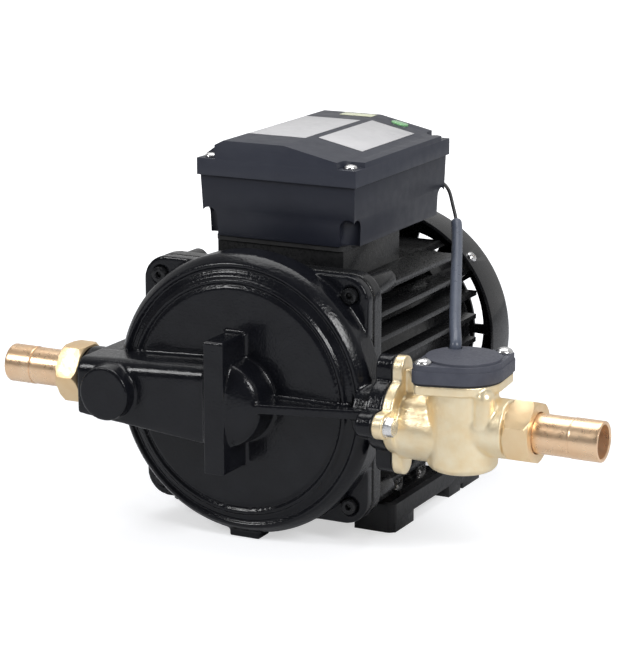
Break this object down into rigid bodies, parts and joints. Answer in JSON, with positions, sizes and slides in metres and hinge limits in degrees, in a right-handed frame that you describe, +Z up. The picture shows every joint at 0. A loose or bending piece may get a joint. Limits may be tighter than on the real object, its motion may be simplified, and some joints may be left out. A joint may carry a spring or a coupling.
{
  "type": "shower pump",
  "caption": "Compact electric shower booster pump: black cast pump head and finned fan-cooled motor on a base frame, terminal box on top, brass flow switch and plain brass pipe tails.",
  "frame": {"origin": "on the floor plane, at the middle of the four foot holes of the base frame", "axes": "+X along the pipes from suction to discharge, +Y from the pump head to the fan, +Z up"},
  "size_m": [0.3112, 0.2073, 0.1857],
  "materials": {
    "base_paint": "satin black powder coat on pressed steel",
    "motor_paint": "semi-gloss black paint on cast aluminium",
    "cast_paint": "gloss black paint with the orange peel of a sand casting",
    "cowl_paint": "gloss black paint on pressed steel",
    "zinc": "bright zinc plate",
    "dark_steel": "dull phosphated steel",
    "shaft_steel": "ground steel",
    "bearing_steel": "ground bearing steel",
    "lamination": "stacked steel sheets",
    "copper": "varnished enamelled copper wire",
    "cast_brass": "pale gold sand-cast brass, lightly grained",
    "nut_brass": "machined brass, matte",
    "tail_brass": "turned brass with a warmer tone and fine turning marks",
    "box_plastic": "satin near-black moulded plastic, slightly blue",
    "gland_plastic": "satin black polyamide",
    "fan_plastic": "black polypropylene",
    "cover_plastic": "dark grey matte glass-filled plastic",
    "nylon": "natural polyamide",
    "label": "plain pale grey foil with nothing printed on it",
    "label_cream": "plain cream foil with nothing printed on it",
    "lens_green": "green translucent lens",
    "board": "green solder resist on glass fibre",
    "component": "moulded component cases",
    "capacitor": "drawn aluminium can",
    "rubber": "black rubber",
    "gasket_paper": "dark fibre gasket",
    "ceramic": "lapped ceramic",
    "carbon": "carbon graphite in a pressed cup",
    "lead_black": "black cable jacket",
    "sleeve_grey": "blue-grey plastic sleeve"
  },
  "bodies": {
    "pump": {"base_frame": "base_paint", "housing_screws": "zinc", "motor_housing": "motor_paint", "motor_bracket": "cast_paint", "pump_casing": "cast_paint", "casing_gasket": "gasket_paper", "casing_screws": "dark_steel", "stator_core": "lamination", "stator_windings": "copper", "rear_shield": "motor_paint", "shield_screws": "zinc", "fan_cowl": "cowl_paint", "cowl_screws": "zinc", "front_bearing_outer": "bearing_steel", "rear_bearing_outer": "bearing_steel", "seal_seat": "ceramic", "box_gasket": "rubber", "terminal_box": "box_plastic", "box_fixings": "zinc", "box_lid": "box_plastic", "lid_screws": "zinc", "label_left": "label", "label_right": "label", "label_rear": "label_cream", "status_lens": "lens_green", "control_board": "board", "board_parts": "component", "run_capacitor": "capacitor", "terminal_block": "nylon", "cable_gland": "gland_plastic", "lead_grommet": "rubber", "switch_lead": "lead_black", "lead_sleeve": "sleeve_grey", "switch_body": "cast_brass", "switch_gasket": "gasket_paper", "switch_bolts": "zinc", "cover_seal": "rubber", "switch_cover": "cover_plastic", "cover_screws": "zinc", "reed_switch": "board", "flap_pin": "zinc", "suction_washer": "gasket_paper", "suction_tail": "tail_brass", "discharge_washer": "gasket_paper", "discharge_tail": "tail_brass"},
    "rotor": {"motor_shaft": "shaft_steel", "rotor_core": "lamination", "front_bearing_inner": "bearing_steel", "rear_bearing_inner": "bearing_steel", "seal_head": "carbon", "slinger": "rubber", "impeller": "cast_brass", "impeller_nut": "zinc", "fan": "fan_plastic", "fan_clip": "dark_steel"},
    "flap": {"flow_flap": "nylon", "flap_magnet": "dark_steel"},
    "suction_union": {"suction_nut": "nut_brass"},
    "discharge_union": {"discharge_nut": "nut_brass"}
  },
  "joints": [
    {"name": "rotor_spin", "type": "hinge", "parent": "pump", "child": "rotor", "pos_m": [0, 0, 0.071], "axis": [0, 1, 0], "continuous": true},
    {"name": "flap_swing", "type": "hinge", "parent": "pump", "child": "flap", "pos_m": [0.1062, -0.0875, 0.0842], "axis": [0, -1, 0], "range_deg": [0, 48], "stiffness_Nm_per_rad": 0.0005},
    {"name": "suction_union_turn", "type": "hinge", "parent": "pump", "child": "suction_union", "pos_m": [-0.097, -0.0875, 0.071], "axis": [1, 0, 0], "continuous": true},
    {"name": "discharge_union_turn", "type": "hinge", "parent": "pump", "child": "discharge_union", "pos_m": [0.145, -0.0875, 0.071], "axis": [1, 0, 0], "continuous": true}
  ]
}
